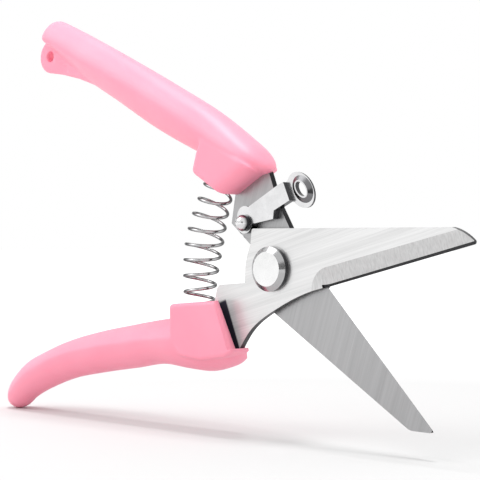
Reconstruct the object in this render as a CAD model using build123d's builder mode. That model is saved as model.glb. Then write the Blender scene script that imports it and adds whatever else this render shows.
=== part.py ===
"""Floral snips: two sprung blade halves that turn on one bolt, with a swinging catch.

Frame, in millimetres: the origin is the centre of the flat front face of the pivot
bolt's head. +Y runs through the snips from front to back, along the pivot axis. +Z is
up and +X runs towards the blade tips. The snips stand open, held apart by the spring.
The front half is the front blade with the lower grip, and the rear half is the rear
blade with the upper grip. Outlines are given as (x, z) about the pivot axis.
"""

import os
from math import asin, atan2, cos, degrees, hypot, radians, sin

from build123d import *

os.makedirs("parts", exist_ok=True)

# ---------------------------------------------------------------- driving dimensions
PLATE = 2.0                  # thickness of both blades
PLATE_GAP = 0.15             # running gap between the two blades
HEAD_HEIGHT = 2.35           # pivot bolt head, from its front face to its seat
HEAD_GAP = 0.05              # running gap under the head

FRONT_Y = HEAD_HEIGHT + HEAD_GAP        # front face of the front blade
REAR_Y = FRONT_Y + PLATE + PLATE_GAP    # front face of the rear blade
MID_Y = REAR_Y - PLATE_GAP / 2          # middle plane of the snips and of both grips
REAR_BACK = REAR_Y + PLATE              # back face of the rear blade

HEAD_RADIUS = 6.5
HEAD_CHAMFER = (1.5, 1.1)    # radial, axial
SHANK_RADIUS = 3.0
RUNNING = 0.05               # radial clearance of a running fit
WASHER = (6.2, 0.8)          # outer radius, thickness
NUT_RADIUS = 5.0             # half of the distance across the flats
NUT_HEIGHT = 3.2
BOLT_END = 0.9               # length of bolt that shows behind the nut

EDGE_ANGLE = 13.9            # front cutting edge, from its spine
EDGE_DROP = 9.4              # pivot to the line of the front cutting edge
SPINE = 11.75                # pivot to the front blade's straight spine
SPINE_END = 62.6
TIP_BULGE = (0.35, 0.5)      # how far the front tip bows out past a straight line
TIP_ROUND = 0.7
CORNER_ROUND = 0.8           # the spine's rear corner
REAR_SPINE_ROUND = 4.0       # where the rear spine meets its tip
REAR_EDGE_ANGLE = -45.9
REAR_EDGE_RISE = 10.5        # pivot to the line of the rear cutting edge
REAR_SPINE_ANGLE = -31.5
REAR_SPINE = 11.3            # pivot to the rear blade's spine, and its heel's radius
REAR_SPINE_END = 62.8
EDGE_FROM, EDGE_TO = 16.8, 69.4         # ends of a cutting edge, along its own line

KEY_HOLE = 1.8               # holes in each tang that the moulded grip fills
GRIND_RADIUS = 6.6           # half of the ground bevel's width, and its rounded run-out
GRIND_DEPTH = 1.4
GRIND_START = 19.8           # run-out's centre, along the cutting edge
GRIND_LOW = 1.27             # run-out's centre, outside the cutting edge
GRIND_TURN = 0.75            # angle by which the bevel narrows towards the tip
HONE = (1.5, 1.9)            # fine bevel at the edge: reach on the ground face, depth at the edge

OVERCUT = 0.1                # how far a cut starts outside the face that it opens

GRIP_HALF = 7.4              # half of the bolsters' width
EDGE_ROUND = 1.5             # rounding of the bolsters' edges
NOSE_ROUND = 4.8             # rounding of the upper grip where the blade leaves it
GRIP_END = ((-18.2, -9.6), (-12.3, -24.3))      # flat end of the lower grip, from its top down
MOUTH_WIDTH = (3.3, 1.8)     # open mouth in front of the blade there: width at its top and foot
MOUTH_LENGTH = 15.4
MOUTH_DEPTH = 3.0
TOE_REACH = 1.0              # how far the toe under the blade stands out past the flat end
RELIEF = 9.0                 # how far that end is cut back at the rear, at 45 degrees
RELIEF_FROM = 0.3            # where the cut back starts, behind the middle plane
SPRING_COIL = 4.6            # spring axis to the middle of the wire
WIRE_RADIUS = 0.5
SPRING_TURNS = 9.15
SPRING_FOOT = (-30.6, -11.3)     # middle of the lower seat's mouth
SPRING_HEAD = (-21.8, 25.2)      # middle of the upper seat's mouth
SEAT_RADIUS = 5.4
SEAT_DEPTH = 3.0
SEATED = 2.2                     # how deep the wire's end sits in a seat

CATCH_PIN = (-10.6, 13.4)        # axis of the catch's rivet
CATCH_THICK = 2.2
CATCH_GAP = 0.1                  # between the catch and the rear blade
CATCH_EYE = 3.1                  # outer radius of the catch round its rivet
CATCH_SHEET = 0.7
CATCH_Y = REAR_Y - CATCH_GAP - CATCH_THICK      # front face of the catch
TAB_Y = REAR_Y - CATCH_GAP - CATCH_SHEET        # front face of its thumb tab
THUMB = (10.0, 22.7)             # centre of the thumb tab
THUMB_ANGLE = -47                # the thumb tab's long axis
BOSS = (10.8, 22.9)              # centre of its raised oval boss
BOSS_RISE = 0.9
RIVET_RADIUS = 1.5
SPOT_FACE = (4.7, 0.15)          # shallow round seat under the catch: radius, depth
DOME = (2.45, 1.9)               # rivet's head: radius, height
TAIL = (2.4, 0.6)                # rivet's closed end: radius, height
SPRING_WASHER = (2.35, 0.5)      # outer radius, thickness
FLAT_WASHER = (2.4, 0.4)

LANYARD = (-100.7, 70.4)         # axis of the hanging hole
LANYARD_RADIUS = 1.9
HANGER_RADIUS = 5.6
HANGER_HALF = 2.0                # half of the hanging tab's thickness

# Stations along each grip's ridge, from the free end to the blade:
# x, z, direction in degrees, height above the ridge, height below it, half of the width.
UPPER_STATIONS = [
    (-103.2, 77.1, -24, 3.6, 1.4, 3.0),
    (-101.6, 76.4, -24, 5.9, 2.2, 4.8),
    (-98.0, 74.8, -24, 7.0, 3.0, 5.9),
    (-81.0, 67.2, -24, 7.2, 5.5, 6.3),
    (-64.4, 59.6, -25, 7.1, 6.5, 6.7),
    (-45.9, 50.9, -27, 6.8, 7.7, 7.1),
    (-24.5, 39.9, -26, 6.8, 7.0, 7.4),
    (-11.5, 33.9, -26, 5.2, 6.0, 7.0),
    (-3.6, 30.1, -26, 2.2, 2.6, 4.6),
]
LOWER_STATIONS = [
    (-122.0, -47.2, 50, 2.6, 2.6, 2.6),
    (-120.6, -45.4, 49, 4.3, 4.0, 4.2),
    (-117.6, -42.4, 43, 5.3, 5.6, 5.0),
    (-111.5, -38.2, 31, 5.4, 6.5, 5.6),
    (-103.5, -34.4, 23, 4.9, 6.8, 5.9),
    (-92.0, -30.2, 16, 4.6, 7.4, 6.3),
    (-76.0, -26.7, 10, 5.0, 7.8, 6.6),
    (-60.0, -24.3, 8, 5.4, 7.7, 6.9),
    (-46.0, -22.5, 5, 5.8, 7.3, 7.2),
    (-35.0, -21.5, 0, 6.5, 9.1, 7.4),
    (-24.0, -21.2, 0, 7.0, 9.2, 7.3),
    (-16.5, -21.4, 0, 6.0, 6.4, 5.4),
    (-12.8, -22.2, 0, 3.0, 3.6, 2.6),
]


# ---------------------------------------------------------------- helpers
def side_plane(y):
    """Plane at depth y seen from the front: its x and y are the row's +X and +Z."""
    return Plane(origin=(0, y, 0), x_dir=(1, 0, 0), z_dir=(0, -1, 0))


def along(angle, offset, distance):
    """Point on a line at an angle, offset to its left from the pivot."""
    c, s = cos(radians(angle)), sin(radians(angle))
    return (distance * c - offset * s, distance * s + offset * c)


def heading(angle):
    """Unit vector in a side plane."""
    return (cos(radians(angle)), sin(radians(angle)))


def cap_middle(cap, base, side):
    """Middle of a spherical cap's profile, from a cap's radius and height."""
    radius, height = cap
    sphere = (radius ** 2 + height ** 2) / (2 * height)
    half = asin(radius / sphere) / 2
    return (sphere * sin(half), base + side * (height - sphere + sphere * cos(half)))


def grip_loft(stations):
    """Loft pairs of half ellipses along a grip's ridge, inside the current part."""
    sections = []
    for x, z, angle, above, below, half in stations:
        c, s = heading(angle)
        with BuildSketch(Plane(origin=(x, MID_Y, z), x_dir=(-s, 0, c), z_dir=(c, 0, s))) as section:
            with BuildLine():
                EllipticalCenterArc((0, 0), above, half, -90, arc_size=180)
                EllipticalCenterArc((0, 0), below, half, 90, arc_size=180)
            make_face()
        sections.append(section.sketch)
    loft(sections)


def spring_plane(point, depth):
    """Plane across the spring's axis at a seat, shifted along the axis by depth."""
    run = (SPRING_HEAD[0] - SPRING_FOOT[0], SPRING_HEAD[1] - SPRING_FOOT[1])
    length = hypot(*run)
    c, s = run[0] / length, run[1] / length
    return Plane(origin=(point[0] + depth * c, MID_Y, point[1] + depth * s),
                 x_dir=(0, 1, 0), z_dir=(c, 0, s))


def grind(angle, offset, side, face_y, depth_sign):
    """Cut a ground bevel with a rounded run-out along a cutting edge."""
    turn = angle + side * GRIND_TURN
    centre = along(angle, offset + side * GRIND_LOW, GRIND_START)
    reach = 2 * EDGE_TO
    c, s = heading(turn)
    middle = (centre[0] + reach / 2 * c, centre[1] + reach / 2 * s)
    sections = []
    for radius, depth in ((GRIND_RADIUS, 0), (GRIND_RADIUS / 10, GRIND_DEPTH)):
        with BuildSketch(side_plane(face_y + depth_sign * depth)) as section:
            with Locations(middle):
                SlotCenterToCenter(reach, 2 * radius, rotation=turn)
        sections.append(section.sketch)
    loft(sections, ruled=True, mode=Mode.SUBTRACT)


def hone(angle, offset, side, face_y, depth_sign):
    """Cut the fine bevel along a cutting edge, on the ground side of the plate."""
    reach, depth = HONE
    c, s = heading(angle)
    start = along(angle, offset, EDGE_FROM)
    outward = side * depth_sign
    across = Plane(origin=(start[0], face_y, start[1]), x_dir=(0, depth_sign, 0), z_dir=(c, 0, s))
    with BuildSketch(across) as section:
        with BuildLine():
            Polyline((-OVERCUT, -outward * reach), (depth, 0), (depth, outward), (-OVERCUT, outward),
                     close=True)
        make_face()
    extrude(section.sketch, amount=2 * EDGE_TO, mode=Mode.SUBTRACT)


# ---------------------------------------------------------------- front blade
front_tip = along(EDGE_ANGLE, -EDGE_DROP, EDGE_TO)
front_heel = along(EDGE_ANGLE, -EDGE_DROP, EDGE_FROM)
tip_middle = ((front_tip[0] + SPINE_END) / 2 + TIP_BULGE[0], (front_tip[1] + SPINE) / 2 + TIP_BULGE[1])
with BuildPart() as front_blade:
    with BuildSketch(side_plane(FRONT_Y)):
        with BuildLine():
            Polyline((-10.6, -4.2), (-20.9, -5.0), (-21.9, -6.0), (-22.8, -9.4), (-23.9, -14.5),
                     (-28.0, -19.6), (-63.9, -23.0))
            ThreePointArc((-63.9, -23.0), (-67.6, -26.9), (-64.5, -30.0))
            Polyline((-64.5, -30.0), (-17.0, -26.6), (-13.2, -24.6))
            Spline((-13.2, -24.6), (-8.1, -17.9), (1.3, -11.8), front_heel,
                   tangents=[(0.55, 0.84), heading(EDGE_ANGLE)])
            Line(front_heel, front_tip)
            ThreePointArc(front_tip, tip_middle, (SPINE_END, SPINE))
            Polyline((SPINE_END, SPINE), (-7.8, SPINE), (-8.3, 7.0))
            ThreePointArc((-8.3, 7.0), (-9.75, 3.4), (-10.4, -0.1))
            Line((-10.4, -0.1), (-10.6, -4.2))
        make_face()
        with Locations((-58.5, -26.0), (-44.0, -24.6)):
            Circle(KEY_HOLE, mode=Mode.SUBTRACT)
        Circle(SHANK_RADIUS + RUNNING, mode=Mode.SUBTRACT)
    extrude(amount=-PLATE)
    uprights = front_blade.edges().filter_by(Axis.Y)
    fillet(uprights.sort_by_distance((-7.8, FRONT_Y, SPINE))[0], CORNER_ROUND)
    uprights = front_blade.edges().filter_by(Axis.Y)
    fillet(uprights.sort_by_distance((front_tip[0], FRONT_Y, front_tip[1]))[0], TIP_ROUND)
    grind(EDGE_ANGLE, -EDGE_DROP, -1, FRONT_Y, 1)
    hone(EDGE_ANGLE, -EDGE_DROP, -1, FRONT_Y, 1)
front_blade.part.label = "front_blade"

# ---------------------------------------------------------------- rear blade
rear_tip = along(REAR_EDGE_ANGLE, REAR_EDGE_RISE, EDGE_TO)
rear_heel = along(REAR_EDGE_ANGLE, REAR_EDGE_RISE, EDGE_FROM)
spine_from = along(REAR_SPINE_ANGLE, -REAR_SPINE, 0)
spine_to = along(REAR_SPINE_ANGLE, -REAR_SPINE, REAR_SPINE_END)
heel_top = along(146, 0, REAR_SPINE)
heel_back = along(192, 0, REAR_SPINE)
with BuildPart() as rear_blade:
    with BuildSketch(side_plane(REAR_BACK)):
        with BuildLine():
            Polyline(spine_from, spine_to, rear_tip, rear_heel)
            Spline(rear_heel, (10.4, 4.6), (5.2, 11.7),
                   tangents=[heading(REAR_EDGE_ANGLE + 180), (-0.45, 0.89)])
            Polyline((5.2, 11.7), (1.4, 17.9), (-1.2, 23.7), (-3.1, 28.6), (-5.5, 33.0), (-12.2, 36.8),
                     (-53.2, 57.5))
            ThreePointArc((-53.2, 57.5), (-58.4, 55.7), (-56.8, 50.6))
            Polyline((-56.8, 50.6), (-19.2, 31.6), (-15.0, 27.0), (-16.5, 21.3), (-17.9, 13.4), heel_top)
            ThreePointArc(heel_top, heel_back, spine_from)
        make_face()
        with Locations((-49.0, 51.4), (-36.0, 44.9)):
            Circle(KEY_HOLE, mode=Mode.SUBTRACT)
        with Locations(CATCH_PIN):
            Circle(RIVET_RADIUS, mode=Mode.SUBTRACT)
        Circle(SHANK_RADIUS, mode=Mode.SUBTRACT)
    extrude(amount=PLATE)
    uprights = rear_blade.edges().filter_by(Axis.Y)
    fillet(uprights.sort_by_distance((rear_tip[0], REAR_Y, rear_tip[1]))[0], TIP_ROUND)
    uprights = rear_blade.edges().filter_by(Axis.Y)
    fillet(uprights.sort_by_distance((spine_to[0], REAR_Y, spine_to[1]))[0], REAR_SPINE_ROUND)
    grind(REAR_EDGE_ANGLE, REAR_EDGE_RISE, 1, REAR_BACK, -1)
    hone(REAR_EDGE_ANGLE, REAR_EDGE_RISE, 1, REAR_BACK, -1)
    with BuildSketch(side_plane(REAR_Y + SPOT_FACE[1])):
        with Locations(CATCH_PIN):
            Circle(SPOT_FACE[0])
    extrude(amount=1, mode=Mode.SUBTRACT)
rear_blade.part.label = "rear_blade"

# ---------------------------------------------------------------- upper grip
with BuildPart() as upper_bolster:
    with BuildSketch(side_plane(MID_Y + GRIP_HALF)):
        with BuildLine():
            Polyline((-28.0, 28.7), (-20.5, 24.5), (-15.8, 21.5), (-4.4, 27.9), (-9.0, 31.8),
                     (-24.8, 39.6), (-26.6, 34.0), close=True)
        make_face()
    extrude(amount=2 * GRIP_HALF)
    end_corners = upper_bolster.edges().filter_by(GeomType.LINE).filter_by(
        lambda e: abs(e.center().Z - 24.7) < 1 and abs(e.center().X + 10.1) < 1)
    fillet(end_corners, NOSE_ROUND)
    fillet(upper_bolster.edges().sort_by_distance((-28.0, MID_Y, 28.7))[0], EDGE_ROUND)

with BuildPart() as upper_grip:
    grip_loft(UPPER_STATIONS)
    add(upper_bolster.part)
    with BuildSketch(side_plane(MID_Y + HANGER_HALF)):
        with Locations(LANYARD):
            Circle(HANGER_RADIUS)
        with BuildLine():
            Polyline((-106.0, 72.0), (-102.6, 76.0), (-78.0, 66.0), (-75.0, 57.8), (-86.0, 61.6),
                     (-94.5, 63.9), (-101.6, 64.9), close=True)
        make_face()
    extrude(amount=2 * HANGER_HALF)
    with BuildSketch(side_plane(MID_Y)):
        with Locations(LANYARD):
            Circle(LANYARD_RADIUS)
    extrude(amount=2 * GRIP_HALF, both=True, mode=Mode.SUBTRACT)
    add(rear_blade.part, mode=Mode.SUBTRACT)
    with BuildSketch(spring_plane(SPRING_HEAD, -SEAT_DEPTH)):
        Circle(SEAT_RADIUS)
    extrude(amount=2 * SEAT_DEPTH, mode=Mode.SUBTRACT)
upper_grip.part.label = "upper_grip"

# ---------------------------------------------------------------- lower grip
with BuildPart() as lower_bolster:
    with BuildSketch(side_plane(MID_Y + GRIP_HALF)):
        with BuildLine():
            Polyline((-37.4, -11.1), (-16.5, -9.4), (-10.5, -24.0), (-13.5, -26.0), (-24.0, -27.6),
                     (-33.0, -26.8), (-37.4, -22.6), close=True)
        make_face()
    extrude(amount=2 * GRIP_HALF)
    fillet(lower_bolster.edges().filter_by(Axis.Y).sort_by_distance((-37.4, MID_Y, -11.1))[0], EDGE_ROUND)

end_angle = degrees(atan2(GRIP_END[1][1] - GRIP_END[0][1], GRIP_END[1][0] - GRIP_END[0][0]))
end_down, end_out = heading(end_angle), heading(end_angle + 90)
end_plane = Plane(origin=(GRIP_END[0][0], 0, GRIP_END[0][1]), x_dir=(end_down[0], 0, end_down[1]),
                  z_dir=(end_out[0], 0, end_out[1]))
relief_start = (GRIP_END[0][0] - RELIEF * end_down[0], MID_Y, GRIP_END[0][1] - RELIEF * end_down[1])
relief_plane = Plane(origin=relief_start, x_dir=(end_out[0], 0, end_out[1]),
                     z_dir=(end_down[0], 0, end_down[1]))
with BuildPart() as lower_grip:
    grip_loft(LOWER_STATIONS)
    add(lower_bolster.part)
    add(front_blade.part, mode=Mode.SUBTRACT)
    with BuildSketch(end_plane):
        with Locations((MOUTH_LENGTH, 0)):
            Rectangle(60, 60, align=(Align.MAX, Align.CENTER))
    extrude(amount=30, mode=Mode.SUBTRACT)
    with BuildSketch(end_plane.offset(TOE_REACH)):
        Rectangle(60, 60)
    extrude(amount=30, mode=Mode.SUBTRACT)
    with BuildSketch(end_plane.offset(-MOUTH_DEPTH)):
        with BuildLine():
            Polyline((-1, FRONT_Y - MOUTH_WIDTH[0]), (MOUTH_LENGTH, FRONT_Y - MOUTH_WIDTH[1]),
                     (MOUTH_LENGTH, FRONT_Y), (-1, FRONT_Y), close=True)
        make_face()
    extrude(amount=2 * MOUTH_DEPTH, mode=Mode.SUBTRACT)
    with BuildSketch(relief_plane):
        with BuildLine():
            Polyline((OVERCUT, -RELIEF_FROM), (2 * TOE_REACH, -RELIEF_FROM), (2 * TOE_REACH, -RELIEF),
                     (OVERCUT - RELIEF, -RELIEF), close=True)
        make_face()
    extrude(amount=4 * RELIEF, mode=Mode.SUBTRACT)
    with BuildSketch(spring_plane(SPRING_FOOT, SEAT_DEPTH)):
        Circle(SEAT_RADIUS)
    extrude(amount=-2 * SEAT_DEPTH, mode=Mode.SUBTRACT)
lower_grip.part.label = "lower_grip"

# ---------------------------------------------------------------- pivot
with BuildPart() as pivot_bolt:
    with BuildSketch(Plane.XY):
        with BuildLine():
            Polyline((0, 0), (HEAD_RADIUS - HEAD_CHAMFER[0], 0), (HEAD_RADIUS, HEAD_CHAMFER[1]),
                     (HEAD_RADIUS, HEAD_HEIGHT), (SHANK_RADIUS, HEAD_HEIGHT),
                     (SHANK_RADIUS, REAR_BACK + WASHER[1] + NUT_HEIGHT + BOLT_END),
                     (0, REAR_BACK + WASHER[1] + NUT_HEIGHT + BOLT_END), close=True)
        make_face()
    revolve(axis=Axis.Y)
pivot_bolt.part.label = "pivot_bolt"

with BuildPart() as pivot_washer:
    with BuildSketch(side_plane(REAR_BACK)):
        Circle(WASHER[0])
        Circle(SHANK_RADIUS + RUNNING, mode=Mode.SUBTRACT)
    extrude(amount=-WASHER[1])
pivot_washer.part.label = "pivot_washer"

with BuildPart() as pivot_nut:
    with BuildSketch(side_plane(REAR_BACK + WASHER[1])):
        RegularPolygon(NUT_RADIUS, 6, major_radius=False)
        Circle(SHANK_RADIUS, mode=Mode.SUBTRACT)
    extrude(amount=-NUT_HEIGHT)
pivot_nut.part.label = "pivot_nut"

# ---------------------------------------------------------------- spring
spring_axis = spring_plane(SPRING_FOOT, -SEATED)
spring_length = hypot(SPRING_HEAD[0] - SPRING_FOOT[0], SPRING_HEAD[1] - SPRING_FOOT[1]) + 2 * SEATED
with BuildPart() as return_spring:
    with BuildLine(spring_axis):
        coil = Helix(spring_length / SPRING_TURNS, spring_length, SPRING_COIL, direction=spring_axis.z_dir)
    with BuildSketch(Plane(origin=coil @ 0, z_dir=coil % 0)):
        Circle(WIRE_RADIUS)
    sweep(path=coil, is_frenet=True)
return_spring.part.label = "return_spring"

# ---------------------------------------------------------------- catch
with BuildPart() as catch_lever:
    with BuildSketch(side_plane(CATCH_Y)):
        with Locations(CATCH_PIN):
            Circle(CATCH_EYE)
        with Locations((-10.4, 15.3)):
            Circle(CATCH_EYE)
        with BuildLine():
            Polyline((-13.5, 15.3), (-13.6, 13.4), (-10.6, 13.35), (-6.3, 13.3), (0.75, 14.48), (1.0, 16.9),
                     (7.0, 19.7), (4.6, 25.0), (2.5, 24.2), (-9.0, 18.1), close=True)
        make_face()
    extrude(amount=-CATCH_THICK)
    with BuildSketch(side_plane(TAB_Y)):
        with Locations(THUMB):
            Ellipse(5.9, 4.2, rotation=THUMB_ANGLE)
        with BuildLine():
            Polyline((4.4, 25.0), (5.9, 26.2), (10.4, 23.0), (8.4, 19.0), (6.6, 19.6), close=True)
        make_face()
    extrude(amount=-CATCH_SHEET)
    with BuildSketch(side_plane(TAB_Y)):
        with Locations(BOSS):
            Ellipse(4.5, 3.3, rotation=THUMB_ANGLE)
    with BuildSketch(side_plane(TAB_Y - BOSS_RISE)):
        with Locations(BOSS):
            Ellipse(3.0, 1.9, rotation=THUMB_ANGLE)
    loft()
    with BuildSketch(side_plane(CATCH_Y)):
        with Locations(BOSS):
            Ellipse(2.55, 1.5, rotation=THUMB_ANGLE)
        with Locations(CATCH_PIN):
            Circle(RIVET_RADIUS + RUNNING)
    extrude(amount=-2 * CATCH_THICK, mode=Mode.SUBTRACT)
catch_lever.part.label = "catch_lever"

washer_back = CATCH_Y - RUNNING
dome_base = washer_back - SPRING_WASHER[1] - FLAT_WASHER[1]
with BuildPart() as catch_spring_washer:
    with BuildSketch(side_plane(washer_back)):
        with Locations(CATCH_PIN):
            Circle(SPRING_WASHER[0])
            Circle(RIVET_RADIUS + RUNNING, mode=Mode.SUBTRACT)
            Rectangle(0.5, 2 * SPRING_WASHER[0], align=(Align.CENTER, Align.MAX), rotation=20,
                      mode=Mode.SUBTRACT)
    extrude(amount=SPRING_WASHER[1])
catch_spring_washer.part.label = "catch_spring_washer"

with BuildPart() as catch_flat_washer:
    with BuildSketch(side_plane(washer_back - SPRING_WASHER[1])):
        with Locations(CATCH_PIN):
            Circle(FLAT_WASHER[0])
            Circle(RIVET_RADIUS + RUNNING, mode=Mode.SUBTRACT)
    extrude(amount=FLAT_WASHER[1])
catch_flat_washer.part.label = "catch_flat_washer"

with BuildPart() as catch_rivet:
    with BuildSketch(Plane(origin=(CATCH_PIN[0], 0, CATCH_PIN[1]), x_dir=(1, 0, 0), z_dir=(0, 0, 1))):
        with BuildLine():
            ThreePointArc((0, dome_base - DOME[1]), cap_middle(DOME, dome_base, -1), (DOME[0], dome_base))
            Polyline((DOME[0], dome_base), (RIVET_RADIUS, dome_base), (RIVET_RADIUS, REAR_BACK),
                     (TAIL[0], REAR_BACK))
            ThreePointArc((TAIL[0], REAR_BACK), cap_middle(TAIL, REAR_BACK, 1), (0, REAR_BACK + TAIL[1]))
            Line((0, REAR_BACK + TAIL[1]), (0, dome_base - DOME[1]))
        make_face()
    revolve(axis=Axis((CATCH_PIN[0], 0, CATCH_PIN[1]), (0, 1, 0)))
catch_rivet.part.label = "catch_rivet"

# ---------------------------------------------------------------- one STEP per piece
PIECES = [front_blade, rear_blade, upper_grip, lower_grip, pivot_bolt, pivot_washer, pivot_nut,
          return_spring, catch_lever, catch_spring_washer, catch_flat_washer, catch_rivet]
for piece in PIECES:
    export_step(piece.part, f"parts/{piece.part.label}.step")
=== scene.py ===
from math import cos, hypot, pi, radians, sin, sqrt

import bmesh
import bpy
import numpy as np
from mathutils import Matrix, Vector


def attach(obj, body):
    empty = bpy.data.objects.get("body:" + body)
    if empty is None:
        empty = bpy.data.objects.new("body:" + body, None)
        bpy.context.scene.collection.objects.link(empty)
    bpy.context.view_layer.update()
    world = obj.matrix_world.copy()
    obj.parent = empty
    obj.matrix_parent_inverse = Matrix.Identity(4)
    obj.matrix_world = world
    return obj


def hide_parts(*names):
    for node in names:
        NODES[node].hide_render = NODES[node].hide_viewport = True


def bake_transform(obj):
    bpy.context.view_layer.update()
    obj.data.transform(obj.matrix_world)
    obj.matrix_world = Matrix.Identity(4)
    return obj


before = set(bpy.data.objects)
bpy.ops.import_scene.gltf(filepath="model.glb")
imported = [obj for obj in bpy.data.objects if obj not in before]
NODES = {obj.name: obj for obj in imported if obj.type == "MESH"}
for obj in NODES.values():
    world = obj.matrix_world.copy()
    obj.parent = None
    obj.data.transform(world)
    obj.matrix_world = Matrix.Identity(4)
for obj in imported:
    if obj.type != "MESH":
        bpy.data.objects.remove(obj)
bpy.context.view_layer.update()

# Floral snips. Shapes are drawn in millimetres in the CAD's frame and scaled to metres.
# A point given by two numbers is x and z in the side plane, and y runs from front to back.
MM = 0.001
MID = 4.475                # y of the middle plane of the snips and of both grips
VOXEL = 0.38
FACET = 1.4                # curve of a grip's inner side: 1 would be round, 2 a flat chamfer
BOLSTER_HALF = 7.5         # half of each bolster's width
HOLE, HOLE_RADIUS, TAB_RADIUS = (-100.7, 70.4), 1.9, 5.6   # hanging hole and the tab round it
SEAT_LOW, SEAT_HIGH = (-30.6, -11.3), (-21.8, 25.2)      # middles of the two spring seats' mouths
SEAT_RADIUS, SEAT_DEPTH = 5.4, 3.0
RIVET = (-10.6, 13.4)      # axis of the catch's rivet
# The lower grip's flat end: its top corner, then the directions down it and out of it.
END_TOP = (-18.2, -9.6)
END_DOWN, END_OUT = (0.3724, -0.9281), (0.9281, 0.3724)
TOE_REACH = 1.2            # how far the toe runs on past the flat end
# The open mouth in that end: its length down it, its depth into the grip, and its y range.
MOUTH_LENGTH, MOUTH_DEPTH = 15.4, 3.0
MOUTH_FRONT_TOP, MOUTH_FRONT_FOOT, MOUTH_BACK = -1.0, 0.6, 2.55
SLACK = 0.05               # tolerance when faces are picked by their place


# ------------------------------------------------------------------ materials
def srgb(r, g, b):
    """Linear colour from 0-255 values."""
    out = []
    for v in (r, g, b):
        v /= 255
        out.append(v / 12.92 if v <= 0.04045 else ((v + 0.055) / 1.055) ** 2.4)
    return (*out, 1.0)


def tint(colour, factor):
    """A colour made darker or lighter, kept within 0..1."""
    return (*(min(1.0, c * factor) for c in colour[:3]), 1.0)


class Shader:
    """A small helper round one material's node tree."""

    def __init__(self, name):
        self.mat = bpy.data.materials.new(name)
        self.mat.use_nodes = True
        self.tree = self.mat.node_tree
        self.tree.nodes.clear()
        self.bsdf = self.add("ShaderNodeBsdfPrincipled")
        out = self.add("ShaderNodeOutputMaterial")
        self.link(self.bsdf.outputs["BSDF"], out.inputs["Surface"])
        self.coords = self.add("ShaderNodeTexCoord")

    def add(self, kind, **settings):
        n = self.tree.nodes.new(kind)
        for k, v in settings.items():
            setattr(n, k, v)
        return n

    def link(self, a, b):
        self.tree.links.new(a, b)

    def set(self, **values):
        for k, v in values.items():
            self.bsdf.inputs[k.replace("_", " ")].default_value = v

    def streaks(self, angle, along, across, detail=3.0):
        """Noise stretched along a direction in the side plane, as 0..1."""
        turn = self.add("ShaderNodeMapping", vector_type="TEXTURE")
        turn.inputs["Rotation"].default_value = (0, -radians(angle), 0)
        self.link(self.coords.outputs["Object"], turn.inputs["Vector"])
        stretch = self.add("ShaderNodeMapping")
        stretch.inputs["Scale"].default_value = (along, across, across)
        self.link(turn.outputs["Vector"], stretch.inputs["Vector"])
        noise = self.add("ShaderNodeTexNoise")
        noise.inputs["Scale"].default_value = 1.0
        noise.inputs["Detail"].default_value = detail
        noise.inputs["Roughness"].default_value = 0.6
        self.link(stretch.outputs["Vector"], noise.inputs["Vector"])
        return noise.outputs["Fac"]

    def noise(self, scale, detail=3.0, rough=0.5):
        n = self.add("ShaderNodeTexNoise")
        n.inputs["Scale"].default_value = scale
        n.inputs["Detail"].default_value = detail
        n.inputs["Roughness"].default_value = rough
        self.link(self.coords.outputs["Object"], n.inputs["Vector"])
        return n.outputs["Fac"]

    def spread(self, value, lo, hi, out_lo=0.0, out_hi=1.0):
        """Map a value from lo..hi to out_lo..out_hi, clamped."""
        m = self.add("ShaderNodeMapRange")
        for k, v in zip(("From Min", "From Max", "To Min", "To Max"), (lo, hi, out_lo, out_hi)):
            m.inputs[k].default_value = v
        self.link(value, m.inputs["Value"])
        return m.outputs["Result"]

    def math(self, operation, a, b=None):
        m = self.add("ShaderNodeMath", operation=operation)
        for socket, v in zip(m.inputs, (a, b)):
            if v is None:
                continue
            if isinstance(v, (int, float)):
                socket.default_value = v
            else:
                self.link(v, socket)
        return m.outputs["Value"]

    def mix(self, fac, a, b):
        m = self.add("ShaderNodeMix", data_type="RGBA")
        for socket, v in ((m.inputs[0], fac), (m.inputs[6], a), (m.inputs[7], b)):
            if isinstance(v, (int, float, tuple)):
                socket.default_value = v
            else:
                self.link(v, socket)
        return m.outputs[2]

    def split(self, vector):
        s = self.add("ShaderNodeSeparateXYZ")
        self.link(vector, s.inputs[0])
        return s.outputs

    def distance(self, x, z, start, direction):
        """Metres from a point in the side plane, measured along a direction."""
        dx = self.math("SUBTRACT", x, start[0] * MM)
        dz = self.math("SUBTRACT", z, start[1] * MM)
        in_x = self.math("MULTIPLY", dx, direction[0])
        in_z = self.math("MULTIPLY", dz, direction[1])
        return self.math("ADD", in_x, in_z)

    def length(self, a, b):
        return self.math("SQRT", self.math("ADD", self.math("MULTIPLY", a, a), self.math("MULTIPLY", b, b)))

    def bump(self, height, distance, strength):
        b = self.add("ShaderNodeBump")
        b.inputs["Strength"].default_value = strength
        b.inputs["Distance"].default_value = distance
        self.link(height, b.inputs["Height"])
        self.link(b.outputs["Normal"], self.bsdf.inputs["Normal"])


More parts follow.
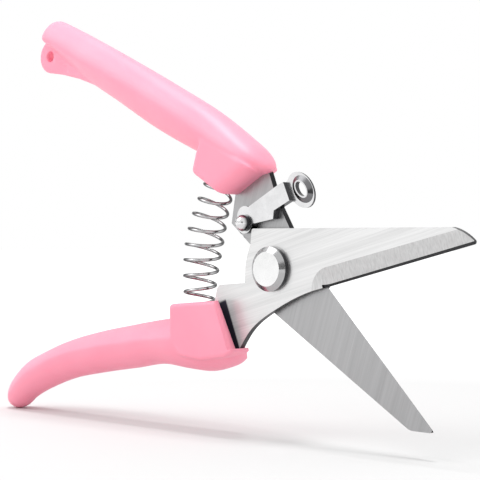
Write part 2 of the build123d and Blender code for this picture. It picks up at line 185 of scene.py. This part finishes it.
def brushed(name, shade, streak_angle, bevel_angle, bevel_shade, painted_wall_shade, rough=0.34, mouth=False):
    """Ground plate: lined flats, a bevel lined across its edge, and painted dark shade on honed edge and
    walls.

    With mouth, painted shade makes the plate dull and dark where it stands within the lower grip's open
    mouth."""
    s = Shader(name)
    s.set(Metallic=1.0)
    facing = s.math("ABSOLUTE", s.split(s.coords.outputs["Normal"])[1])
    flat = s.spread(facing, 0.985, 0.995)
    # painted shade: walls and the honed edge are darkened as dark reflection and shade would darken them
    painted_shade_walls = s.spread(facing, 0.85, 0.75)
    broad = s.spread(s.streaks(streak_angle, 9, 420, 4), 0.3, 0.7)
    fine = s.spread(s.streaks(streak_angle, 40, 3200, 3), 0.3, 0.7)
    across = s.spread(s.streaks(bevel_angle, 40, 2200, 3), 0.3, 0.7)
    lines = s.math("ADD", s.math("MULTIPLY", broad, 0.55), s.math("MULTIPLY", fine, 0.45))
    face = s.mix(lines, tint(shade, 0.82), tint(shade, 1.10))
    bevel = s.mix(across, tint(bevel_shade, 0.86), tint(bevel_shade, 1.10))
    colour = s.mix(flat, bevel, face)
    colour = s.mix(painted_shade_walls, colour, painted_wall_shade)
    if mouth:
        x, _, z = s.split(s.coords.outputs["Object"])[:3]
        out = s.distance(x, z, END_TOP, END_OUT)
        down = s.distance(x, z, END_TOP, END_DOWN)
        # painted shade: the plate turns dark and dull where the grip's open mouth would shade it
        mouth_shade_mask = s.math("MULTIPLY", s.spread(out, 0.0002, -0.0002), s.spread(down, -0.0006, 0.0))
        colour = s.mix(mouth_shade_mask, colour, srgb(52, 48, 62))
        s.link(s.spread(out, 0.0005, 0.007, 0.25, 1.0), s.bsdf.inputs["Metallic"])
    s.link(colour, s.bsdf.inputs["Base Color"])
    height = s.mix(flat, across, lines)
    s.link(s.spread(lines, 0, 1, rough - 0.05, rough + 0.07), s.bsdf.inputs["Roughness"])
    s.bump(height, 0.00003, 0.35)
    return s.mat


def turned(name, shade, rough, centre=(0, 0), bevel_shade=None, painted_wall_shade=None):
    """Turned or stamped bright metal, with faint rings round a pin's axis, and optional painted shade on
    its bevel and walls.
    """
    s = Shader(name)
    s.set(Metallic=1.0)
    x, _, z = s.split(s.coords.outputs["Object"])[:3]
    dx = s.math("SUBTRACT", x, centre[0] * MM)
    dz = s.math("SUBTRACT", z, centre[1] * MM)
    r = s.length(dx, dz)
    rings = s.add("ShaderNodeTexNoise")
    rings.noise_dimensions = "1D"
    rings.inputs["Scale"].default_value = 5200
    rings.inputs["Detail"].default_value = 2
    s.link(r, rings.inputs["W"])
    worn = s.noise(420, 4, 0.6)
    colour = s.mix(s.spread(worn, 0.35, 0.65), tint(shade, 0.93), shade)
    facing = s.math("ABSOLUTE", s.split(s.coords.outputs["Normal"])[1])
    if bevel_shade:
        # painted shade: the bevel is darkened as a dim reflection would darken it
        colour = s.mix(s.spread(facing, 0.98, 0.92), colour, bevel_shade)
    if painted_wall_shade:
        # painted shade: walls are darkened as dark reflection would darken them
        colour = s.mix(s.spread(facing, 0.70, 0.35), colour, painted_wall_shade)
    s.link(colour, s.bsdf.inputs["Base Color"])
    s.link(s.spread(worn, 0.3, 0.7, rough - 0.03, rough + 0.05), s.bsdf.inputs["Roughness"])
    s.bump(rings.outputs["Fac"], 0.000012, 0.25)
    return s.mat


def plated(name, shade, rough, sheet=False):
    """Bright plating over drawn wire, or over pressed sheet, with painted dark reflection on the wire's
    outline and on the sheet's walls and slopes.
    """
    s = Shader(name)
    s.set(Metallic=1.0)
    cloudy = s.noise(260, 4, 0.6)
    colour = s.mix(s.spread(cloudy, 0.35, 0.65), tint(shade, 0.92), shade)
    if sheet:
        facing = s.math("ABSOLUTE", s.split(s.coords.outputs["Normal"])[1])
        # painted shade: slopes and walls of the sheet are darkened as dark reflection would darken them
        colour = s.mix(s.spread(facing, 0.97, 0.90), colour, srgb(120, 120, 122))
        colour = s.mix(s.spread(facing, 0.70, 0.40), colour, srgb(75, 75, 77))
    else:
        # painted reflection: the wire is darkened towards its outline
        painted_dark_rim = s.add("ShaderNodeLayerWeight")
        painted_dark_rim.inputs["Blend"].default_value = 0.5
        colour = s.mix(s.spread(painted_dark_rim.outputs["Facing"], 0.25, 0.60), colour, srgb(40, 40, 42))
    s.link(colour, s.bsdf.inputs["Base Color"])
    s.link(s.spread(cloudy, 0.3, 0.7, rough, rough + 0.06), s.bsdf.inputs["Roughness"])
    s.bump(s.noise(900, 2, 0.5), 0.00002, 0.3)
    return s.mat


def pink_plastic(name):
    """Satin moulded plastic with a fine even grain."""
    s = Shader(name)
    cloudy = s.noise(45, 3, 0.5)
    colour = s.mix(s.spread(cloudy, 0.3, 0.7), srgb(251, 148, 171), srgb(254, 156, 178))
    s.link(colour, s.bsdf.inputs["Base Color"])
    grain = s.noise(2600, 2, 0.6)
    s.link(s.spread(grain, 0.3, 0.7, 0.42, 0.52), s.bsdf.inputs["Roughness"])
    s.set(Specular_IOR_Level=0.6, Subsurface_Weight=0.15, Subsurface_Scale=0.002)
    s.bsdf.inputs["Subsurface Radius"].default_value = (1.0, 0.45, 0.5)
    s.bump(grain, 0.00002, 0.25)
    return s.mat


def painted_shade_plastic(name, shade):
    """Dull dark plastic with a faint grain, used as painted shade."""
    s = Shader(name)
    s.link(s.mix(s.noise(500, 3), tint(shade, 0.8), shade), s.bsdf.inputs["Base Color"])
    s.set(Roughness=0.7)
    s.bump(s.noise(2600, 2, 0.6), 0.00002, 0.2)
    return s.mat


# the dark wall colours here and the pivot head's bevel colour are painted shade and dark reflection
steel_front = brushed("steel_front", srgb(222, 222, 222), 15, 98, srgb(202, 202, 202), srgb(62, 62, 64),
                      mouth=True)
steel_rear = brushed("steel_rear", srgb(174, 174, 175), 72, 44, srgb(180, 180, 181), srgb(38, 38, 40))
head_steel = turned("head_steel", srgb(230, 230, 230), 0.18, bevel_shade=srgb(180, 180, 181),
                    painted_wall_shade=srgb(70, 70, 72))
nut_steel = turned("nut_steel", srgb(196, 197, 200), 0.30)
rivet_steel = turned("rivet_steel", srgb(225, 225, 226), 0.16, RIVET, painted_wall_shade=srgb(55, 55, 57))
spring_wire = plated("spring_wire", srgb(190, 190, 191), 0.14)
catch_plating = plated("catch_plating", srgb(228, 228, 229), 0.20, sheet=True)
pink = pink_plastic("pink_plastic")
mouth_shade_material = painted_shade_plastic("mouth_painted_shade", srgb(70, 55, 68))


def smooth(obj):
    for p in obj.data.polygons:
        p.use_smooth = True


def dress(obj, material):
    """Give an object one material."""
    obj.data.materials.clear()
    obj.data.materials.append(material)
    for p in obj.data.polygons:
        p.material_index = 0


# ------------------------------------------------------------------ meshes
def new_object(name, verts, faces):
    mesh = bpy.data.meshes.new(name)
    mesh.from_pydata([tuple(c * MM for c in v) for v in verts], [], faces)
    mesh.validate()
    bm = bmesh.new()
    bm.from_mesh(mesh)
    bmesh.ops.recalc_face_normals(bm, faces=bm.faces)
    bm.to_mesh(mesh)
    bm.free()
    obj = bpy.data.objects.new(name, mesh)
    bpy.context.scene.collection.objects.link(obj)
    return obj


def bake(obj):
    """Turn an object's modifiers into its mesh."""
    bpy.context.view_layer.update()
    graph = bpy.context.evaluated_depsgraph_get()
    mesh = bpy.data.meshes.new_from_object(obj.evaluated_get(graph))
    obj.modifiers.clear()
    old = obj.data
    obj.data = mesh
    bpy.data.meshes.remove(old)


def discard(obj):
    mesh = obj.data
    bpy.data.objects.remove(obj)
    bpy.data.meshes.remove(mesh)


def combine(name, parts):
    """One object out of several overlapping closed meshes."""
    bm = bmesh.new()
    for p in parts:
        bm.from_mesh(p.data)
    mesh = bpy.data.meshes.new(name)
    bm.to_mesh(mesh)
    bm.free()
    for p in parts:
        discard(p)
    obj = bpy.data.objects.new(name, mesh)
    bpy.context.scene.collection.objects.link(obj)
    return obj


def cut(obj, tool):
    """Take one closed mesh away from another, and drop the tool."""
    m = obj.modifiers.new("cut", "BOOLEAN")
    m.object = tool
    m.operation = "DIFFERENCE"
    m.solver = "EXACT"
    bake(obj)
    discard(tool)


def fuse(obj, rounds):
    """Melt overlapping shells into one skin, with edges softened by rounds of smoothing."""
    m = obj.modifiers.new("skin", "REMESH")
    m.mode = "VOXEL"
    m.voxel_size = VOXEL * MM
    m.use_smooth_shade = True
    m = obj.modifiers.new("soften", "SMOOTH")
    m.factor = 0.5
    m.iterations = rounds
    bake(obj)
    smooth(obj)


def curve_table(stations, steps):
    """Catmull-Rom rows through a list of stations, spaced by chord length."""
    rows = np.array(stations, float)
    chord = np.hypot(np.diff(rows[:, 0]), np.diff(rows[:, 1]))
    t = np.concatenate([[0], np.cumsum(chord)])
    slope = np.gradient(rows, t, axis=0)
    out = []
    for u in np.linspace(0, t[-1], steps):
        i = min(np.searchsorted(t, u, side="right") - 1, len(t) - 2)
        h = t[i + 1] - t[i]
        s = (u - t[i]) / h
        a = (1 + 2 * s) * (1 - s) ** 2
        b = s * (1 - s) ** 2
        c = s * s * (3 - 2 * s)
        d = s * s * (s - 1)
        row = a * rows[i] + b * h * slope[i] + c * rows[i + 1] + d * h * slope[i + 1]
        out.append(np.concatenate([[u], row]))
    return np.array(out)


def grip_body(name, stations, outer_sign, ends, steps=110, around=72):
    """Loft along a grip's ridge: a round crown outside and a flatter facet inside."""
    rows = curve_table(stations, steps)
    total = rows[-1, 0]
    verts, faces = [], []
    for u, x, z, outer, inner, half in rows:
        shrink = 1.0
        for gap, length in ((u, ends[0]), (total - u, ends[1])):
            if gap < length:
                shrink = min(shrink, sqrt(max(0.0, 1 - (1 - gap / length) ** 2.2)))
        shrink = max(shrink, 0.04)
        i = min(range(len(rows)), key=lambda k: abs(rows[k, 0] - u))
        lo, hi = max(0, i - 2), min(len(rows) - 1, i + 2)
        tx, tz = rows[hi, 1] - rows[lo, 1], rows[hi, 2] - rows[lo, 2]
        length = hypot(tx, tz)
        nx, nz = -tz / length, tx / length          # points up from the ridge
        for k in range(around):
            a = 2 * pi * k / around
            c, s = cos(a), sin(a)
            if s >= 0:                              # crown
                y, h = half * c, outer * s
            else:                                   # facet, rounded under
                y = half * np.sign(c) * abs(c) ** FACET
                h = inner * -abs(s) ** FACET
            y, h = y * shrink, h * shrink * outer_sign
            verts.append((x + nx * h, MID + y, z + nz * h))
    for r in range(len(rows) - 1):
        for k in range(around):
            a, b = r * around + k, r * around + (k + 1) % around
            faces.append((a, b, b + around, a + around))
    faces.append(tuple(range(around)))
    faces.append(tuple((len(rows) - 1) * around + k for k in range(around)))
    return new_object(name, verts, faces)


def prism(name, outline, y0, y1, round_all=0.0, round_at=()):
    """Extrude an outline from y0 to y1, then round its edges.

    round_at holds (x, z, radius) for front and back edges nearest to that point."""
    n = len(outline)
    verts = [(x, y0, z) for x, z in outline] + [(x, y1, z) for x, z in outline]
    faces = [tuple(range(n)), tuple(range(2 * n - 1, n - 1, -1))]
    faces += [(i, (i + 1) % n, n + (i + 1) % n, n + i) for i in range(n)]
    obj = new_object(name, verts, faces)
    if round_all or round_at:
        bm = bmesh.new()
        bm.from_mesh(obj.data)
        layer = bm.edges.layers.float.new("bevel_weight_edge")
        biggest = max([round_all] + [r for _, _, r in round_at])
        for e in bm.edges:
            e[layer] = round_all / biggest
        for x, z, r in round_at:
            flat = [e for e in bm.edges if abs(e.verts[0].co.y - e.verts[1].co.y) < 1e-7]
            gap = {}
            for e in flat:
                middle = (e.verts[0].co + e.verts[1].co) / 2
                gap[e] = hypot(middle.x - x * MM, middle.z - z * MM)
            nearest = min(gap.values())
            for e in flat:
                if gap[e] < nearest + 1e-6:
                    e[layer] = r / biggest
        bm.to_mesh(obj.data)
        bm.free()
        m = obj.modifiers.new("round", "BEVEL")
        m.limit_method = "WEIGHT"
        m.width = biggest * MM
        m.segments = 6
        bake(obj)
    return obj


def cylinder(name, centre, axis, radius, length, sides=48):
    """Closed cylinder round an axis, from -length/2 to +length/2."""
    a = Vector(axis).normalized()
    u = a.orthogonal().normalized()
    v = a.cross(u)
    verts, faces = [], []
    for end in (-0.5, 0.5):
        for k in range(sides):
            t = 2 * pi * k / sides
            verts.append(Vector(centre) + a * length * end + (u * cos(t) + v * sin(t)) * radius)
    faces += [(k, (k + 1) % sides, sides + (k + 1) % sides, sides + k) for k in range(sides)]
    faces += [tuple(range(sides)), tuple(range(2 * sides - 1, sides - 1, -1))]
    return new_object(name, verts, faces)


# ------------------------------------------------------------------ grips
# x, z, height of the crown, height of the facet, half of the width
UPPER = [(-104.0, 77.4, 7.0, 1.6, 5.4), (-98.0, 74.8, 7.2, 2.8, 5.9), (-81.0, 67.2, 7.3, 6.2, 6.4),
         (-64.4, 59.6, 7.1, 7.4, 6.8), (-45.9, 50.9, 6.8, 8.5, 7.2), (-24.5, 39.9, 6.6, 7.0, 7.5),
         (-11.5, 33.4, 4.7, 5.5, 7.2), (-1.6, 28.7, 2.7, 3.0, 5.6)]
LOWER = [(-123.0, -49.0, 5.2, 4.6, 4.8), (-117.6, -42.8, 5.8, 5.3, 5.2), (-111.5, -38.2, 6.8, 5.4, 5.7),
         (-103.5, -34.4, 7.3, 5.0, 6.0), (-92.0, -30.2, 7.8, 4.8, 6.4), (-76.0, -26.7, 8.2, 5.2, 6.8),
         (-60.0, -24.3, 8.1, 5.7, 7.0), (-46.0, -22.5, 7.8, 6.2, 7.2), (-35.0, -21.6, 9.4, 6.6, 7.5),
         (-24.0, -21.4, 9.7, 7.0, 7.4), (-11.4, -22.0, 5.8, 6.0, 6.0)]


def seat_cutter(mouth, towards):
    dx, dz = towards[0] - mouth[0], towards[1] - mouth[1]
    length = hypot(dx, dz)
    axis = (dx / length, 0, dz / length)
    return cylinder("seat", (mouth[0], MID, mouth[1]), axis, SEAT_RADIUS, 2 * SEAT_DEPTH)


def end_point(down, out):
    """Point in the side plane, from the upper corner of the lower grip's flat end."""
    return tuple(top + down * d + out * o for top, d, o in zip(END_TOP, END_DOWN, END_OUT))


def end_block(name, rows):
    """Block cut across the flat end, from rows of (out, y) corners at two depths down it."""
    verts = []
    for down, corners in rows:
        for out, y in corners:
            x, z = end_point(down, out)
            verts.append((x, y, z))
    n = len(rows[0][1])
    faces = [tuple(range(n)), tuple(range(2 * n - 1, n - 1, -1))]
    faces += [(k, (k + 1) % n, n + (k + 1) % n, n + k) for k in range(n)]
    return new_object(name, verts, faces)


def in_mouth(point):
    """Whether a point in metres lies on a wall of the open mouth in the lower grip's end."""
    x, y, z = (c / MM for c in point)
    out = (x - END_TOP[0]) * END_OUT[0] + (z - END_TOP[1]) * END_OUT[1]
    down = (x - END_TOP[0]) * END_DOWN[0] + (z - END_TOP[1]) * END_DOWN[1]
    deep = -MOUTH_DEPTH - SLACK < out < -SLACK
    across = MOUTH_FRONT_TOP - SLACK < y < MOUTH_BACK + SLACK
    return deep and across and -0.9 < down < MOUTH_LENGTH + SLACK


body = grip_body("upper_body", UPPER, 1, (5, 9))
bolster_outline = [(-28.0, 28.7), (-15.9, 21.5), (-3.6, 28.4), (-8.0, 32.0), (-24.0, 40.0), (-26.2, 34.5)]
bolster = prism("upper_bolster", bolster_outline, MID - BOLSTER_HALF, MID + BOLSTER_HALF, 1.4,
                [(-9.75, 24.95, 4.6)])
# the tab is round about its hole, then runs in under the grip
tab_outline = []
for a in range(105, 271, 11):
    tab_outline.append((HOLE[0] + TAB_RADIUS * cos(radians(a)), HOLE[1] + TAB_RADIUS * sin(radians(a))))
tab_outline += [(-94.6, 63.8), (-86.0, 61.7), (-77.0, 58.6), (-74.0, 62.0), (-80.0, 68.0), (-99.0, 77.0)]
tab = prism("upper_tab", tab_outline, MID - 2.0, MID + 2.0, 0.5)
step_outline = [(-98.4, 68.2), (-91.4, 67.2), (-91.0, 63.6), (-84.0, 61.7), (-76.0, 59.6), (-74.0, 63.0),
                (-80.0, 69.0), (-96.0, 75.0)]
step = prism("upper_step", step_outline, MID - 2.5, MID + 2.5, 0.3)
upper = combine("grip_upper", [body, bolster, tab, step])
fuse(upper, 5)
cut(upper, cylinder("hole", (HOLE[0], MID, HOLE[1]), (0, 1, 0), HOLE_RADIUS, 12, 40))
cut(upper, seat_cutter(SEAT_HIGH, SEAT_LOW))

body = grip_body("lower_body", LOWER, -1, (7, 5))
bolster_outline = [(-37.4, -11.1), (-16.5, -9.4), (-10.5, -24.0), (-13.5, -26.0), (-24.0, -27.6),
                   (-33.0, -26.8), (-37.4, -22.6)]
bolster = prism("lower_bolster", bolster_outline, MID - BOLSTER_HALF, MID + BOLSTER_HALF, 1.1)
lower = combine("grip_lower", [body, bolster])
fuse(lower, 3)
# everything past the flat end goes, except a short toe under the mouth
past_end = [(-20, 0), (MOUTH_LENGTH, 0), (MOUTH_LENGTH, TOE_REACH), (50, TOE_REACH), (50, 40), (-20, 40)]
cut(lower, prism("past_end", [end_point(down, out) for down, out in past_end], -30, 30))
# behind the blade the end is cut back at 45 degrees
relief = [(0.1, MID + 0.3), (-9.0, MID + 9.0), (3.0, MID + 9.0), (3.0, MID + 0.3)]
cut(lower, end_block("relief", [(-20, relief), (50, relief)]))
mouth = [(down, [(1, front), (-MOUTH_DEPTH, front), (-MOUTH_DEPTH, MOUTH_BACK), (1, MOUTH_BACK)])
         for down, front in ((-1.0, MOUTH_FRONT_TOP), (MOUTH_LENGTH, MOUTH_FRONT_FOOT))]
cut(lower, end_block("mouth", mouth))
cut(lower, seat_cutter(SEAT_LOW, SEAT_HIGH))

for grip, node, body_name in ((upper, "upper_grip", "rear_half"), (lower, "lower_grip", "front_half")):
    smooth(grip)
    dress(grip, pink)
    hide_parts(node)
    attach(grip, body_name)
# painted shade: the walls of the open mouth in the lower grip's end are coloured dark
lower.data.materials.append(mouth_shade_material)
for p in lower.data.polygons:
    if in_mouth(p.center):
        p.material_index = 1

# ------------------------------------------------------------------ spring
TURNS = 9.15
PHASE = radians(120)
REACH = 2.4                      # how far each end stands past its seat's mouth
BOW = 3.1                        # the middle's offset to the rear of the line through the seats
END_RADIUS, SWELL = 4.4, 1.1     # the coil at its ends, and how much wider it is in its middle


def spring_axis(steps):
    """Rows of distance, x, z and coil radius, on a bowed line through the two seats."""
    low, high = np.array(SEAT_LOW), np.array(SEAT_HIGH)
    gap = hypot(*(high - low))
    along = (high - low) / gap
    rear = np.array([-along[1], along[0]])
    length = gap + 2 * REACH
    rows = []
    for t in np.linspace(0, 1, steps):
        x, z = low + (length * t - REACH) * along + BOW * 4 * t * (1 - t) * rear
        rows.append((length * t, x, z, END_RADIUS + SWELL * sin(pi * t) ** 2))
    return np.array(rows)


def spring_mesh(name, wire=0.5, per_turn=48, sides=12):
    rows = spring_axis(int(TURNS * per_turn) + 1)
    total = rows[-1, 0]
    path = []
    for i, (u, x, z, r) in enumerate(rows):
        lo, hi = max(0, i - 1), min(len(rows) - 1, i + 1)
        t = Vector((rows[hi, 1] - rows[lo, 1], 0, rows[hi, 2] - rows[lo, 2])).normalized()
        n = Vector((t.z, 0, -t.x))
        a = PHASE + 2 * pi * TURNS * u / total
        path.append(Vector((x, MID, z)) + float(r) * (cos(a) * n + sin(a) * Vector((0, 1, 0))))
    verts, faces, rings = [], [], []
    side = None
    for i, p in enumerate(path):
        t = (path[min(i + 1, len(path) - 1)] - path[max(i - 1, 0)]).normalized()
        side = (side - t * side.dot(t)).normalized() if side is not None else t.orthogonal().normalized()
        up = t.cross(side)
        for k in range(sides):
            b = 2 * pi * k / sides
            verts.append(p + wire * (cos(b) * side + sin(b) * up))
            rings.append(i)
    for i in range(len(path) - 1):
        for k in range(sides):
            a, b = i * sides + k, i * sides + (k + 1) % sides
            faces.append((a, b, b + sides, a + sides))
    faces.append(tuple(range(sides)))
    faces.append(tuple((len(path) - 1) * sides + k for k in range(sides)))
    return new_object(name, verts, faces), rings, len(path)


spring, rings, count = spring_mesh("coil_spring")
smooth(spring)
dress(spring, spring_wire)
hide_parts("return_spring")
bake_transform(spring)

# ------------------------------------------------------------------ CAD pieces that are shown
SHOWN = [("front_blade", steel_front, "front_blade"), ("rear_blade", steel_rear, "rear_blade"),
         ("pivot_bolt", head_steel, "pivot_steel"), ("pivot_washer", nut_steel, "nut_steel"),
         ("pivot_nut", nut_steel, "nut_steel"), ("catch_lever", catch_plating, "catch_plate"),
         ("catch_rivet", rivet_steel, "rivet_steel"), ("catch_flat_washer", rivet_steel, "rivet_steel"),
         ("catch_spring_washer", rivet_steel, "rivet_steel")]
for node, material, slot in SHOWN:
    dress(NODES[node], material)


# ------------------------------------------------------------------ stage
def card(name, centre, facing, width, height, material):
    """A flat card on the stage, facing a direction."""
    f = Vector(facing).normalized()
    right = Vector((1, 0, 0)) if abs(f.z) > 0.99 else Vector((0, 0, 1)).cross(f).normalized()
    up = f.cross(right)
    c = Vector(centre)
    signs = ((-1, -1), (1, -1), (1, 1), (-1, 1))
    corners = [c + right * sx * width / 2 + up * sz * height / 2 for sx, sz in signs]
    mesh = bpy.data.meshes.new(name)
    mesh.from_pydata([tuple(v) for v in corners], [], [(0, 1, 2, 3)])
    obj = bpy.data.objects.new(name, mesh)
    bpy.context.scene.collection.objects.link(obj)
    mesh.materials.append(material)
    return obj


def matte(name, colour):
    """Flat card with no shine."""
    s = Shader(name)
    s.set(Base_Color=colour, Roughness=0.9, Specular_IOR_Level=0.0)
    return s


def area(name, place, target, size, power):
    """Square area light aimed at a point."""
    light = bpy.data.lights.new(name, "AREA")
    light.shape = "RECTANGLE"
    light.size = size
    light.size_y = size
    light.energy = power
    obj = bpy.data.objects.new(name, light)
    obj.location = place
    obj.rotation_euler = (Vector(target) - Vector(place)).to_track_quat("-Z", "Y").to_euler()
    bpy.context.scene.collection.objects.link(obj)


def floor_white(name):
    """Pale floor with a painted glow that lifts it to pure white away from the snips."""
    s = matte(name, (0.62, 0.62, 0.62, 1))
    s.set(Emission_Color=(1, 1, 1, 1))
    x, y, _ = s.split(s.coords.outputs["Object"])[:3]
    s.link(s.spread(s.length(x, y), 0.18, 0.6, 0.0, 0.6), s.bsdf.inputs["Emission Strength"])
    return s.mat


FLOOR = -0.0500      # just under the lower grip's lowest point
card("floor", (0, 0, FLOOR), (0, 0, 1), 12, 12, floor_white("floor_white"))
# a dark card for the bright metal to reflect, which the camera doesn't see
black = matte("flag_black", (0.01, 0.01, 0.01, 1)).mat
flag = card("dark_flag", (0.431, -0.968, 0.0), (-0.407, 0.914, 0), 0.34, 0.8, black)
flag.visible_camera = False

world = bpy.context.scene.world or bpy.data.worlds.new("world")
bpy.context.scene.world = world
world.use_nodes = True
world.node_tree.nodes["Background"].inputs["Color"].default_value = (1, 1, 1, 1)
world.node_tree.nodes["Background"].inputs["Strength"].default_value = 1.0
bpy.context.scene.view_settings.view_transform = "Standard"
bpy.context.scene.view_settings.look = "None"

area("key", (-0.50, -0.55, 0.65), (0, 0, 0.01), 0.6, 3.0)
area("top", (-0.05, 0.0, 0.9), (0, 0, 0), 0.22, 4.2)

# ------------------------------------------------------------------ camera
camera = bpy.data.cameras.new("camera")
camera.lens = 105.0
camera.sensor_width = 36.0
camera.dof.use_dof = False
camera.clip_start = 0.01
camera_object = bpy.data.objects.new("camera", camera)
bpy.context.scene.collection.objects.link(camera_object)
camera_object.location = (0.2707, -0.2981, 0.0084)
camera_object.rotation_euler = Vector((-0.6858, 0.7278, 0)).to_track_quat("-Z", "Y").to_euler()
bpy.context.scene.camera = camera_object
